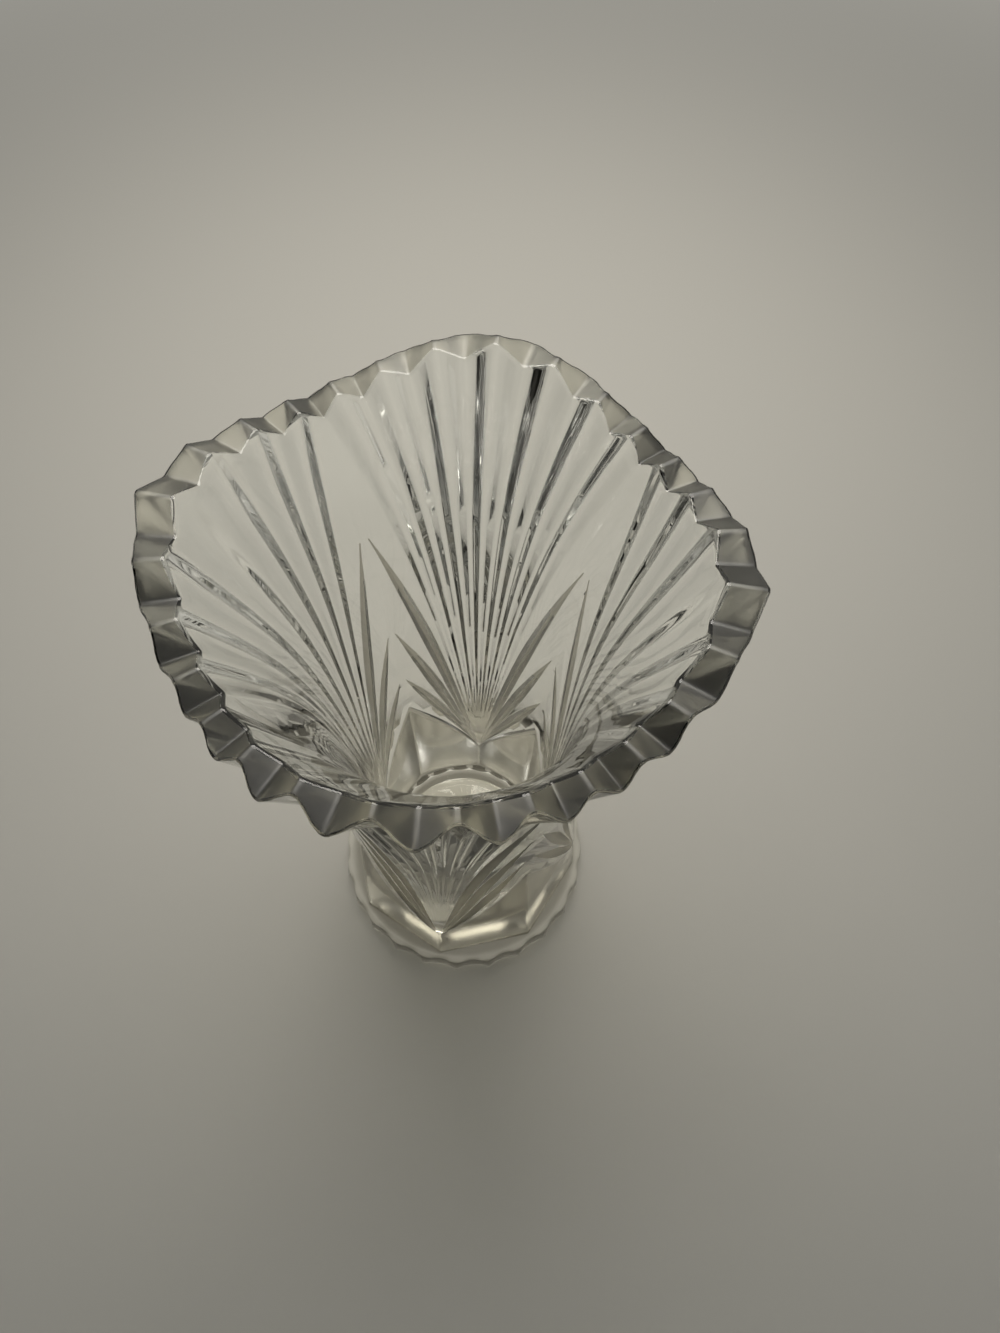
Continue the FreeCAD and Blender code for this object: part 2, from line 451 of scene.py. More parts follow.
@dataclass
class Sheet:
    """Flat layout of lines and points, as arc length and height, that is cut into triangles."""

    scale_radius: float = 52.0
    points: list[tuple[float, float]] = field(default_factory=list)
    edges: list[tuple[int, int]] = field(default_factory=list)

    def add_points(self, places: Sequence[tuple[float, float]]) -> list[int]:
        """Add places, as angles in degrees and heights, and return their numbers."""
        first = len(self.points)
        self.points += [(math.radians(angle) * self.scale_radius, z) for angle, z in places]
        return list(range(first, len(self.points)))

    def join(self, numbers: Sequence[int]) -> None:
        """Join points to a line in the order given."""
        self.edges += list(zip(numbers, numbers[1:]))

    def cut(self, border: Sequence[int], weld: float) -> tuple[Array, list[tuple[int, ...]]]:
        """Cut the sheet inside a border into triangles that keep every line.

        Args:
            border: Numbers of the points round the sheet, counter-clockwise.
            weld: Distance in millimetres under which points become one.

        Returns:
            Angles and heights of the points as rows, and the triangles.
        """
        flat = [Vector(point) for point in self.points]
        cut = delaunay_2d_cdt(flat, self.edges, [list(border)], INSIDE_ONLY, weld, True)
        places, _, faces, _, _, owners = cut
        # Triangles that fill hollows outside the border belong to no face and are left out
        found = np.array([tuple(place) for place in places])
        found[:, 0] = np.degrees(found[:, 0] / self.scale_radius)
        return found, [tuple(face) for face, owner in zip(faces, owners) if owner]


@dataclass
class SectorMesh:
    """Points and faces of half a fan's slice of the vase, in millimetres."""

    places: list[Array] = field(default_factory=list)
    presses: list[Array] = field(default_factory=list)
    faces: list[tuple[int, ...]] = field(default_factory=list)
    satin_shade_skins: dict[int, Skin] = field(default_factory=dict)
    count: int = 0

    def add(
        self, radius: Array | float, angle: Array, height: Array | float, *press: Array | float
    ) -> int:
        """Add points by radius, angle in degrees and height.

        Args:
            radius: Radii in millimetres.
            angle: Angles in degrees.
            height: Heights in millimetres.
            *press: Depths by which the points are pressed in, rim angles of the flutes that they
                are in, and shares of the way up those flutes. All are nil if they are left out.

        Returns:
            The number of the first point added.
        """
        radius, turn, height = np.broadcast_arrays(radius, np.radians(angle), height)
        axes = (radius * np.cos(turn), radius * np.sin(turn), height)
        self.places.append(np.stack(axes, axis=-1))
        self.presses.append(np.stack([row + np.zeros(radius.shape) for row in press or (0, 0, 0)]))
        first = self.count
        self.count += len(radius)
        return first

    def bridge(
        self, rows: Sequence[int], skin: Skin = Skin.CLEAR, dull: Sequence[int] = ()
    ) -> None:
        """Join rows of points with four-sided faces.

        Args:
            rows: Numbers of the first points of the rows, which are equally long.
            skin: Skin of the faces that follow dull rows.
            dull: Numbers of the first points of the dull rows.
        """
        columns = rows[-1] - rows[-2]
        for low, high in zip(rows, rows[1:]):
            for i in range(columns - 1):
                if low in dull:
                    self.satin_shade_skins[len(self.faces)] = skin
                self.faces.append((low + i, low + i + 1, high + i + 1, high + i))

    def to_object(self, name: str) -> bpy.types.Object:
        """Make a Blender object of the slice, in metres, with presses and skins as attributes.

        Args:
            name: Name of the object and its mesh.

        Returns:
            The new object, linked to the scene.
        """
        mesh = bpy.data.meshes.new(name)
        mesh.from_pydata((np.concatenate(self.places) * MM).tolist(), [], self.faces)
        pressed, angle, share = np.concatenate(self.presses, axis=1)
        columns = {"pressed": pressed * MM, "flute_angle": np.radians(angle), "flute_share": share}
        for key, values in columns.items():
            mesh.attributes.new(key, "FLOAT", "POINT").data.foreach_set("value", values)
        satin_and_shade = [self.satin_shade_skins.get(i, Skin.CLEAR).value for i in range(len(self.faces))]
        mesh.attributes.new("satin_and_shade", "FLOAT", "FACE").data.foreach_set("value", satin_and_shade)
        mesh.validate()
        return place_object(name, mesh)


@dataclass(frozen=True)
class Foot:
    """Toothed foot with a hollowed underside."""

    radius: float
    height: float
    top_radius_drop: float = 1.4
    edge_height_drop: float = 1.5
    shoulder_drop: float = 3.4
    teeth: int = 24
    tooth_depth: float = 2.3
    bottom_chamfer: float = 1.4
    recess_radius: float = 41.0
    recess_depth: float = 2.2
    recess_rows: int = 8
    round_steps: int = 3
    slices: int = 8
    columns: int = 48

    @cached_property
    def angles(self) -> Array:
        """Angles of the columns in degrees."""
        return np.linspace(0, FULL_TURN / self.slices, self.columns + 1)

    def hollow(self, angle: Array) -> Array:
        """Radius of the edge between two points of the foot, over all columns."""
        pitch = math.radians(FULL_TURN / self.teeth)
        half_chord = self.radius * math.sin(pitch / 2)
        sagitta = self.tooth_depth - self.radius * (1 - math.cos(pitch / 2))
        round_radius = (half_chord**2 + sagitta**2) / (2 * sagitta)
        centre = self.radius - self.tooth_depth + round_radius
        turn = np.radians(angle)
        away = turn - pitch * np.round(turn / pitch)
        return centre * np.cos(away) - np.sqrt(round_radius**2 - (centre * np.sin(away)) ** 2)

    def profile(self) -> list[tuple[float, float]]:
        """Radius and height of the foot's edge from its underside to its shoulder."""
        top_radius = self.radius - self.top_radius_drop
        edge_height = self.height - self.edge_height_drop
        shoulder = self.radius - self.shoulder_drop
        corners = [
            (self.radius - 2 * self.bottom_chamfer, 0.0),
            (self.radius - self.bottom_chamfer, 0.0),
            (self.radius, self.bottom_chamfer),
            (top_radius, edge_height),
            (shoulder, self.height),
        ]
        points = [corners[0]]
        for before, corner, after in zip(corners, corners[1:], corners[2:]):
            near = rounded_start(corner, before, self.bottom_chamfer / 2)
            far = rounded_start(corner, after, self.bottom_chamfer / 2)
            points += bezier(near, corner, far, self.round_steps)
        return points + [corners[-1]]

    def build(self, slice_mesh: SectorMesh) -> int:
        """Add the underside and the toothed edge to a slice.

        Args:
            slice_mesh: Slice that gets the faces.

        Returns:
            The number of the first point of the row on the foot's shoulder.
        """
        rows = []
        angles = self.angles
        for share in np.linspace(0, 1, self.recess_rows):
            height = self.recess_depth * (1 - share**2)
            rows.append(slice_mesh.add(self.recess_radius * share, angles, height))
        for radius, height in self.profile():
            rows.append(slice_mesh.add(np.minimum(radius, self.hollow(angles)), angles, height))
        slice_mesh.bridge(rows)
        return rows[-1]


@dataclass(frozen=True)
class Panels:
    """Flat leaning panels, two to a fan, whose top edge climbs from its base to a peak."""

    wall: Wall
    foot: Foot
    base_height: float
    peak_height: float = 90.0
    inset: float = 0.15
    rows: int = 18

    @cached_property
    def half_angle(self) -> float:
        """Angle in degrees from a panel's edge to its middle."""
        return FULL_TURN / self.foot.slices / 2

    def apothem(self, height: float) -> float:
        """Distance from the axis at which the panel's edge lies just under the outside."""
        radius = self.wall.outside.radius(height) - self.inset
        return radius * math.cos(math.radians(self.half_angle))

    @cached_property
    def lean(self) -> float:
        """How far the panel leans in for each millimetre of height."""
        fall = self.apothem(self.base_height) - self.apothem(self.peak_height)
        return fall / (self.peak_height - self.base_height)

    def radius(self, angle: Array, height: Array) -> Array:
        """Radius of the panel at some angles in degrees and heights."""
        apothem = self.apothem(self.base_height) + self.lean * (self.base_height - height)
        return apothem / np.cos(np.radians(angle - self.half_angle))

    def top(self, angle: Array) -> Array:
        """Height of the slanting top edge at some angles.

        Args:
            angle: Angles in degrees from the fan's centre.

        Returns:
            The height at each angle, from the fan's base to the peak.
        """
        rise = self.peak_height - self.base_height
        low = self.apothem(self.base_height)
        spread = math.tan(math.radians(self.half_angle))
        width = (2 * low - self.lean * rise) * spread
        slant = np.tan(np.radians(angle - self.half_angle))
        return self.base_height + rise * low * (slant + spread) / (width + self.lean * rise * slant)

    def build(self, slice_mesh: SectorMesh, shoulder: int) -> None:
        """Add a panel and the narrow ledge over it to a slice.

        Args:
            slice_mesh: Slice that gets the faces.
            shoulder: Number of the first point of the row on the foot's shoulder.
        """
        angles = self.foot.angles
        top = self.top(angles)
        rows = [shoulder]
        for share in np.linspace(0, 1, self.rows):
            height = self.foot.height + (top - self.foot.height) * share
            rows.append(slice_mesh.add(self.radius(angles, height), angles, height))
        rows.append(slice_mesh.add(self.wall.outside.radius(top), angles, top))
        slice_mesh.bridge(rows, Skin.PANEL, rows[1:-2])


def rounded_start(
    corner: tuple[float, float], other: tuple[float, float], size: float
) -> tuple[float, float]:
    """Point at a distance from a corner towards another point, at most half way."""
    away = math.dist(corner, other)
    share = min(size, away / 2) / away
    return corner[0] + (other[0] - corner[0]) * share, corner[1] + (other[1] - corner[1]) * share


def curve_weights(steps: int) -> list[tuple[float, float, float]]:
    """Shares of start, corner and end at each point of a curve that rounds a corner."""
    return [((1 - t) ** 2, 2 * t * (1 - t), t**2) for t in (i / steps for i in range(steps + 1))]


def bezier(
    start: tuple[float, float], corner: tuple[float, float], end: tuple[float, float], steps: int
) -> list[tuple[float, float]]:
    """Points of a curve that rounds a corner.

    Args:
        start: First point of the curve.
        corner: Corner that the curve rounds.
        end: Last point of the curve.
        steps: Number of stretches between its points.

    Returns:
        The points of the curve with both ends.
    """
    ends = list(zip(start, corner, end))
    return [
        tuple(sum(share * value for share, value in zip(shares, axis)) for axis in ends)
        for shares in curve_weights(steps)
    ]


@dataclass(frozen=True)
class FanSide:
    """Outside of half a fan, cut into triangles along every groove."""

    wall: Wall
    rim: Rim
    panels: Panels
    pattern: FanPattern
    row_step: float = 3.0
    fill_step: float = 3.6
    fill_gap: float = 1.5
    weld: float = 0.02
    tip_offsets: tuple[float, ...] = (0.35, 0.75, 1.5)
    notch_offsets: tuple[float, ...] = (0.2, 0.5, 1.2)
    flank_shares: tuple[float, ...] = (1 / 3, 2 / 3)
    offset_room: float = 2.4
    share_room: float = 2.0
    land_offset: float = 0.5
    land_start: float = 80.0
    land_end_gap: float = 12.0
    axis_snap: float = 1e-4
    crossing_rounds: int = 40
    leaf_start: float = 0.04
    leaf_edge_gap: float = 0.05
    leaf_least_depth: float = 0.02
    # Lines along a leaf: share of its half width, millimetres added, and shares of its rise
    leaf_rows: tuple[tuple[float, float, float, float], ...] = (
        (0.0, 0.0, 0.0, 1.0),
        (1.0, 0.0, 0.0, 1.0),
        (0.0, Leaf.bottom_half_width, 0.25, 0.90),
        (1.0, -0.45, 0.32, 0.82),
        (1.0, 0.45, 0.32, 0.95),
    )

    @cached_property
    def half_fan(self) -> float:
        """Angle in degrees from a fan's centre to its edge."""
        return FULL_TURN / self.rim.fans / 2

    def arc_angle(self, length: float, height: Array | float) -> Array:
        """Angle in degrees of an arc length in millimetres at some heights."""
        return np.degrees(length / self.wall.outside.radius(height))

    def rim_crossing(self, line: Line) -> float:
        """Height at which a line meets the rim's rounded edge."""
        height = self.rim.height
        for _ in range(self.crossing_rounds):
            height = float(self.pattern.edge(min(line(height), self.half_fan)))
        return height

    def trace(self, line: Line, low: float, high: float) -> list[tuple[float, float]]:
        """Places along a line between two heights, about a row apart."""
        steps = max(1, round((high - low) / self.row_step))
        return [(float(line(z)), float(z)) for z in np.linspace(low, high, steps + 1)]

    def flute_lines(self) -> list[tuple[Line, float]]:
        """Lines along the flutes that run out through the rim, each with its lowest height."""
        lines = []
        start = self.pattern.start_height
        last = self.rim.flutes // 2
        for number in range(last + 1):
            tip = self.rim.tooth_angle(number)
            if number:
                lines.append((partial(self.pattern.along, tip), start))
            if number < last:
                lines.append((partial(self.pattern.along, self.rim.notch_angle(number)), start))
            for side in (1, -1) if number else (1,):
                notch = self.rim.notch_angle(number if side > 0 else number - 1)
                lines += self.flank_lines(tip, notch, side)
        return lines

    def flank_width(self, tip: float, notch: float, height: float) -> float:
        """Width in millimetres of one flank of a flute at a height."""
        across = abs(self.pattern.along(tip, height) - self.pattern.along(notch, height))
        return math.radians(across) * self.wall.outside.radius(height)

    def flank_lines(self, tip: float, notch: float, side: int) -> list[tuple[Line, float]]:
        """Lines between the bottom and the ridge of one flank, where it is wide enough.

        Args:
            tip: Rim angle of the flute's bottom.
            notch: Rim angle of the ridge beside it.
            side: One if the ridge lies at larger angles, or minus one.

        Returns:
            The lines, each with its lowest height.
        """
        top = self.rim.height - self.rim.corner_drop
        heights = np.arange(self.pattern.start_height, top, self.row_step)
        widths = np.array([self.flank_width(tip, notch, z) for z in heights])
        kept = self.tip_offsets[-1] + self.notch_offsets[-1]

        def beside(angle: float, offset: Line, turn: int, room: float) -> tuple[Line, float]:
            """Line at an offset beside another, and the height at which the flank has room."""
            line = lambda z: self.pattern.along(angle, z) + turn * self.arc_angle(offset(z), z)
            return line, heights[np.argmax(widths > room)]

        lines = [
            beside(angle, lambda z, o=offset: o, turn, self.offset_room * offset)
            for angle, turn, offsets in (
                (tip, side, self.tip_offsets), (notch, -side, self.notch_offsets)
            )
            for offset in offsets
        ]
        left = lambda z: self.flank_width(tip, notch, z) - kept
        for share in self.flank_shares:
            offset = lambda z, s=share: self.tip_offsets[-1] + left(z) * s
            lines.append(beside(tip, offset, side, self.share_room * kept))
        return lines

    def leaf_lines(self) -> list[list[tuple[float, float]]]:
        """Places along the lines of every leaf: middle, outline, bottom, and beside the outline."""
        lines = []
        limit = self.half_fan - self.leaf_edge_gap
        for leaf in self.pattern.leaves:
            for share, added, first, last in self.leaf_rows:
                start = leaf.base_height + leaf.rise * max(first, self.leaf_start)
                stop = leaf.base_height + leaf.rise * last
                for side in (1, -1) if share or added else (1,):
                    offset = lambda z: self.arc_angle(share * leaf.half(z) + added, z)
                    places = self.trace(lambda z: leaf.centre(z) + side * offset(z), start, stop)
                    lines.append([(min(angle, limit), z) for angle, z in places])
        return lines

    def build(self, slice_mesh: SectorMesh) -> Array:
        """Add the fan's outside to a slice.

        Args:
            slice_mesh: Slice that gets the faces.

        Returns:
            Angles in degrees of the points along the top edge, in order.
        """
        sheet = Sheet()
        base_angles = self.panels.foot.angles
        base = sheet.add_points(list(zip(base_angles, self.panels.top(base_angles))))
        top: list[tuple[float, int]] = []
        centre_places = self.trace(lambda z: 0.0, self.panels.base_height, self.pattern.edge(0.0))
        centre_line = sheet.add_points(centre_places[1:])
        corner = self.pattern.edge(self.half_fan)
        side_places = self.trace(lambda z: self.half_fan, self.panels.peak_height, corner)
        side_line = sheet.add_points(side_places[1:])
        top += [(0.0, centre_line[-1]), (self.half_fan, side_line[-1])]
        for line, start in self.flute_lines():
            stop = self.rim_crossing(line)
            numbers = sheet.add_points(self.trace(line, start, stop))
            sheet.join(numbers)
            top.append((float(line(stop)), numbers[-1]))
        ridge = partial(self.pattern.along, self.rim.notch_angle(self.rim.flutes // 2))
        ridge_places = self.trace(ridge, self.pattern.start_height, corner)
        sheet.join(sheet.add_points(ridge_places[:-1]) + [side_line[-1]])
        land = lambda z: ridge(z) + self.arc_angle(self.land_offset, z)
        land_places = self.trace(land, self.land_start, corner - self.land_end_gap)
        sheet.join(sheet.add_points(land_places))
        for places in self.leaf_lines():
            sheet.join(sheet.add_points(places))
        top.sort()
        top_line = [number for _, number in reversed(top[:-1])]
        border = base + side_line + top_line + centre_line[-2::-1]
        self.fill(sheet, corner)
        places, faces = sheet.cut(border, self.weld)
        angle, height = places[:, 0], places[:, 1]
        angle[np.abs(angle) < self.axis_snap] = 0
        outside = self.wall.outside.radius(height)
        first = slice_mesh.add(outside, angle, height, *self.pattern.press(angle, height))
        centres = np.array([places[list(face)].mean(axis=0) for face in faces])
        for leaf in self.pattern.leaves:
            inside = leaf.depth(centres[:, 0], centres[:, 1]) > self.leaf_least_depth
            for i in np.nonzero(inside)[0]:
                slice_mesh.satin_shade_skins[len(slice_mesh.faces) + i] = Skin.LEAF
        slice_mesh.faces += [tuple(first + i for i in face) for face in faces]
        return np.array([a for a, _ in top])

    def fill(self, sheet: Sheet, corner: float) -> None:
        """Add loose points over the smooth parts, away from every line."""
        lines = np.array(sheet.points)
        wide = math.radians(self.half_fan) * sheet.scale_radius
        step = self.fill_step
        loose = []
        for i, height in enumerate(np.arange(self.panels.base_height + step, corner - step, step)):
            for across in np.arange(step * (1 if i % 2 else 0.5), wide, step):
                gap = np.hypot(lines[:, 0] - across, lines[:, 1] - height).min()
                if gap > self.fill_gap:
                    loose.append((math.degrees(across / sheet.scale_radius), height))
        sheet.add_points(loose)


@dataclass(frozen=True)
class RimEdge:
    """Rounded sawtooth edge between the outside and the cavity."""

    wall: Wall
    rim: Rim
    pattern: FanPattern
    round_steps: int = 4
    flat_steps: int = 3

    def build(self, slice_mesh: SectorMesh, angles: Array) -> None:
        """Add the rim to a slice.

        Args:
            slice_mesh: Slice that gets the faces.
            angles: Angles in degrees of the points along the outside's top edge.
        """
        top = self.rim.top(angles)
        size = self.rim.edge_round
        outer = self.wall.outside.radius(top)
        inner = self.wall.cavity.radius(top)
        low_depth, *flute = self.pattern.press(angles, top - size)
        depth = self.pattern.press(angles, top)[0]
        rows = []
        for a, c, b in curve_weights(self.round_steps):
            radius = a * self.wall.outside.radius(top - size) + c * outer + b * (outer - size)
            height = a * (top - size) + (c + b) * top
            pressed = a * low_depth + (c + b) * depth
            rows.append(slice_mesh.add(radius, angles, height, pressed, *flute))
        for t in np.linspace(0, 1, self.flat_steps + 1)[1:-1]:
            radius = (outer - size) * (1 - t) + (inner + size) * t
            rows.append(slice_mesh.add(radius, angles, top, depth * (1 - t), *flute))
        for a, c, b in curve_weights(self.round_steps):
            radius = a * (inner + size) + c * inner + b * self.wall.cavity.radius(top - size)
            rows.append(slice_mesh.add(radius, angles, (a + c) * top + b * (top - size)))
        flat = rows[self.round_steps : self.round_steps + self.flat_steps]
        slice_mesh.bridge(rows, Skin.RIM, flat)


@dataclass(frozen=True)
class Well:
    """Smooth cavity from the rim's inner edge to the middle of its floor."""

    wall: Wall
    rim: Rim
    wall_rows: int = 56
    corner_rows: int = 8
    floor_rows: int = 5

    def build(self, slice_mesh: SectorMesh, angles: Array) -> None:
        """Add the cavity to a slice.

        Args:
            slice_mesh: Slice that gets the faces.
            angles: Angles in degrees of the columns.
        """
        top = self.rim.top(angles) - self.rim.edge_round
        low = self.wall.cavity.heights[0]
        rows = []
        for share in np.linspace(0, 1, self.wall_rows + 1):
            height = top + (low - top) * share
            rows.append(slice_mesh.add(self.wall.cavity.radius(height), angles, height))
        start = (self.wall.cavity.radii[0], low)
        corner = (self.wall.floor_radius, self.wall.floor_height)
        end = (self.wall.floor_radius - self.wall.floor_corner_radius, self.wall.floor_height)
        for radius, height in bezier(start, corner, end, self.corner_rows)[1:]:
            rows.append(slice_mesh.add(radius, angles, height))
        for share in np.linspace(1, 0, self.floor_rows + 1)[1:]:
            rows.append(slice_mesh.add(end[0] * share, angles, self.wall.floor_height))
        slice_mesh.bridge(rows)


@dataclass(frozen=True)
class Mould:
    """Geometry Nodes tree that repeats half a fan round the axis and presses the grooves."""

    fans: int
    weld: float = 0.01 * MM
    seam_power: float = 0.7
    seam_least: float = 0.06
    # Name, operation and two terms of each sum that ends in how far a point is pressed in. Flutes
    # get shallower with the square of their share of the way up, and most near the seams on X.
    sums: tuple[tuple[str, str, str | float, str | float], ...] = (
        ("across", "ABSOLUTE", "Y", 0.0),
        ("ahead", "ABSOLUTE", "X", 0.0),
        ("on_seam", "GREATER_THAN", "ahead", "across"),
        ("quarter", "SUBTRACT", math.pi / 2, "flute_angle"),
        ("swing", "SUBTRACT", "flute_angle", "quarter"),
        ("swung", "MULTIPLY", "swing", "on_seam"),
        ("from_seam", "ADD", "quarter", "swung"),
        ("sine", "SINE", "from_seam", 0.0),
        ("turned", "ABSOLUTE", "sine", 0.0),
        ("away", "POWER", "turned", "Seam Power"),
        ("most", "SUBTRACT", 1.0, "Seam Least Share"),
        ("near", "SUBTRACT", 1.0, "away"),
        ("loss", "MULTIPLY", "most", "near"),
        ("upper", "MULTIPLY", "flute_share", "flute_share"),
        ("faded", "MULTIPLY", "loss", "upper"),
        ("kept", "SUBTRACT", 1.0, "faded"),
        ("depth", "MULTIPLY", "pressed", "kept"),
        ("inset", "MULTIPLY", "depth", -1.0),
    )

    def tree(self, glass: bpy.types.Material) -> tuple[bpy.types.NodeTree, dict[str, object]]:
        """Build the tree, with named inputs for its sizes.

        Args:
            glass: Material of the vase.

        Returns:
            The tree, which ends in Realize Instances, the pressing and Set Material, and the
            values of its inputs by their identifiers.
        """
        tree = bpy.data.node_groups.new("Fan mould", "GeometryNodeTree")
        tree.interface.new_socket("Vase", in_out="OUTPUT", socket_type="NodeSocketGeometry")
        tree.interface.new_socket("Slice", in_out="INPUT", socket_type="NodeSocketGeometry")
        values = {}
        for name, kind, value in (
            ("Fans", "NodeSocketInt", self.fans),
            ("Weld Distance", "NodeSocketFloat", self.weld),
            ("Seam Power", "NodeSocketFloat", self.seam_power),
            ("Seam Least Share", "NodeSocketFloat", self.seam_least),
            ("Glass", "NodeSocketMaterial", glass),
        ):
            socket = tree.interface.new_socket(name, in_out="INPUT", socket_type=kind)
            values[socket.identifier] = value
        start = add_node(tree, "NodeGroupInput")
        pressed = self.press(tree, start, self.repeat(tree, start))
        smooth = add_node(tree, "GeometryNodeSetShadeSmooth", {"Geometry": pressed})
        skin = {"Geometry": smooth, "Material": start.outputs["Glass"]}
        glazed = add_node(tree, "GeometryNodeSetMaterial", skin)
        add_node(tree, "NodeGroupOutput", {"Vase": glazed})
        return tree, values

    def repeat(self, tree: bpy.types.NodeTree, start: bpy.types.Node) -> bpy.types.Node:
        """Mirror the slice to a whole fan and set fans round the axis, welded to one skin."""
        half = start.outputs["Slice"]
        mirrored = add_node(tree, "GeometryNodeTransform", {"Geometry": half, "Scale": (1, -1, 1)})
        turned_out = add_node(tree, "GeometryNodeFlipFaces", {0: mirrored})
        fan = add_node(tree, "GeometryNodeJoinGeometry", {0: half})
        tree.links.new(turned_out.outputs[0], fan.inputs[0])
        spots = add_node(tree, "GeometryNodePoints", {"Count": start.outputs["Fans"]})
        index = add_node(tree, "GeometryNodeInputIndex")
        shared = {0: math.tau, 1: start.outputs["Fans"]}
        step = add_node(tree, "ShaderNodeMath", shared, operation="DIVIDE")
        turn = add_node(tree, "ShaderNodeMath", {0: index, 1: step}, operation="MULTIPLY")
        rotation = add_node(tree, "ShaderNodeCombineXYZ", {"Z": turn})
        ring = {"Points": spots, "Instance": fan, "Rotation": rotation}
        copies = add_node(tree, "GeometryNodeInstanceOnPoints", ring)
        real = add_node(tree, "GeometryNodeRealizeInstances", {0: copies})
        weld = {"Geometry": real, "Distance": start.outputs["Weld Distance"]}
        return add_node(tree, "GeometryNodeMergeByDistance", weld)

    def press(
        self, tree: bpy.types.NodeTree, start: bpy.types.Node, skin: bpy.types.Node
    ) -> bpy.types.Node:
        """Push each point in by its depth, less near the mould seams on the X axis."""
        place = add_node(tree, "GeometryNodeInputPosition")
        parts = add_node(tree, "ShaderNodeSeparateXYZ", {0: place})
        terms = {name: parts.outputs[name] for name in "XY"}
        terms |= {name: start.outputs[name] for name in ("Seam Power", "Seam Least Share")}
        for name in ("pressed", "flute_angle", "flute_share"):
            kind = "GeometryNodeInputNamedAttribute"
            terms[name] = add_node(tree, kind, {"Name": name}, data_type="FLOAT")
        for name, operation, *pair in self.sums:
            inputs = {i: terms.get(term, term) for i, term in enumerate(pair)}
            terms[name] = add_node(tree, "ShaderNodeMath", inputs, operation=operation)
        flat = add_node(tree, "ShaderNodeCombineXYZ", {name: terms[name] for name in "XY"})
        outward = add_node(tree, "ShaderNodeVectorMath", {0: flat}, operation="NORMALIZE")
        inset = {0: outward, "Scale": terms["inset"]}
        inward = add_node(tree, "ShaderNodeVectorMath", inset, operation="SCALE")
        return add_node(tree, "GeometryNodeSetPosition", {"Geometry": skin, "Offset": inward})

    def cast(
        self, slice_object: bpy.types.Object, glass: bpy.types.Material, name: str
    ) -> bpy.types.Object:
        """Run the tree on a slice and keep the result as a plain mesh.

        Args:
            slice_object: Object with the slice's mesh, which is removed afterwards.
            glass: Material of the vase.
            name: Name of the finished piece.

        Returns:
            The finished piece.
        """
        modifier = slice_object.modifiers.new("mould", "NODES")
        modifier.node_group, values = self.tree(glass)
        for identifier, value in values.items():
            modifier[identifier] = value
        evaluated = slice_object.evaluated_get(bpy.context.evaluated_depsgraph_get())
        mesh = bpy.data.meshes.new_from_object(evaluated)
        slice_object.modifiers.clear()
        mesh.name = name
        bpy.data.objects.remove(slice_object)
        return place_object(name, mesh)


@dataclass(frozen=True)
class PressedGlass:
    """Soda-lime glass, pressed and fire-polished: clear, and faintly warm grey where thick."""

    name: str = "Pressed soda-lime glass"
    # The grey tints of leaves, panels and rim are painted shade that darkens what is seen through
    # them
    satin_shade_skins: tuple[tuple[Skin, str], ...] = (
        (Skin.CLEAR, "#FBFCFB"),
        (Skin.LEAF, "#848175"),
        (Skin.PANEL, "#8F8C80"),
        (Skin.RIM, "#DEDBCB"),
    )
    lamp_tint: str = "#CBCAC5"
    depth_tint: str = "#C6C4B6"
    absorption_per_metre: float = 3.0
    refraction: float = 1.52
    roughness: float = 0.012
    satin_roughness: float = 0.37
    ripple_mm: float = 14.0
    ripple_depth_mm: float = 0.05

    def material(self) -> bpy.types.Material:
        """Build the glass.

        Returns:
            The material, which lets lamps shine through to the floor.
        """
        material = bpy.data.materials.new(self.name)
        tree = empty_tree(material)
        place = add_node(tree, "ShaderNodeTexCoord").outputs["Object"]
        # The mould leaves a shallow ripple on the skin that bends what is seen through it
        waves = {"Vector": place, "Scale": 1 / (self.ripple_mm * MM), "Detail": 1.0}
        ripple = add_node(tree, "ShaderNodeTexNoise", waves)
        depth = {"Height": ripple, "Distance": self.ripple_depth_mm * MM, "Strength": 1.0}
        bump = add_node(tree, "ShaderNodeBump", depth)
        # Panels, rim and leaves keep more and more of the mould's satin skin, which blurs what is
        # seen through them, and a grey tint of painted shade that darkens what is seen through them
        satin_and_shade = add_node(tree, "ShaderNodeAttribute", attribute_name="satin_and_shade").outputs["Fac"]
        satin_shade_tint = add_node(tree, "ShaderNodeValToRGB", {0: satin_and_shade})
        stops = satin_shade_tint.color_ramp.elements
        for skin, tint in self.satin_shade_skins:
            found = [stop for stop in stops if stop.position == skin.value]
            stop = found[0] if found else stops.new(skin.value)
            stop.color = linear_colour(tint)
        blur = {
            "Value": satin_and_shade, "From Max": Skin.RIM.value,
            "To Min": self.roughness, "To Max": self.satin_roughness,
        }
        polish = add_node(tree, "ShaderNodeMapRange", blur)
        looks = {
            "Base Color": satin_shade_tint, "Roughness": polish, "Normal": bump,
            "IOR": self.refraction, "Transmission Weight": 1.0,
        }
        glass = add_node(tree, "ShaderNodeBsdfPrincipled", looks)
        # Lamps reach the floor through the glass, so its shadow stays pale
        tint = {"Color": linear_colour(self.lamp_tint)}
        clear = add_node(tree, "ShaderNodeBsdfTransparent", tint)
        shadow = add_node(tree, "ShaderNodeLightPath").outputs["Is Shadow Ray"]
        surface = add_node(tree, "ShaderNodeMixShader", {0: shadow, 1: glass, 2: clear})
        thick = {"Color": linear_colour(self.depth_tint), "Density": self.absorption_per_metre}
        volume = add_node(tree, "ShaderNodeVolumeAbsorption", thick)
        add_node(tree, "ShaderNodeOutputMaterial", {"Surface": surface, "Volume": volume})
        return material


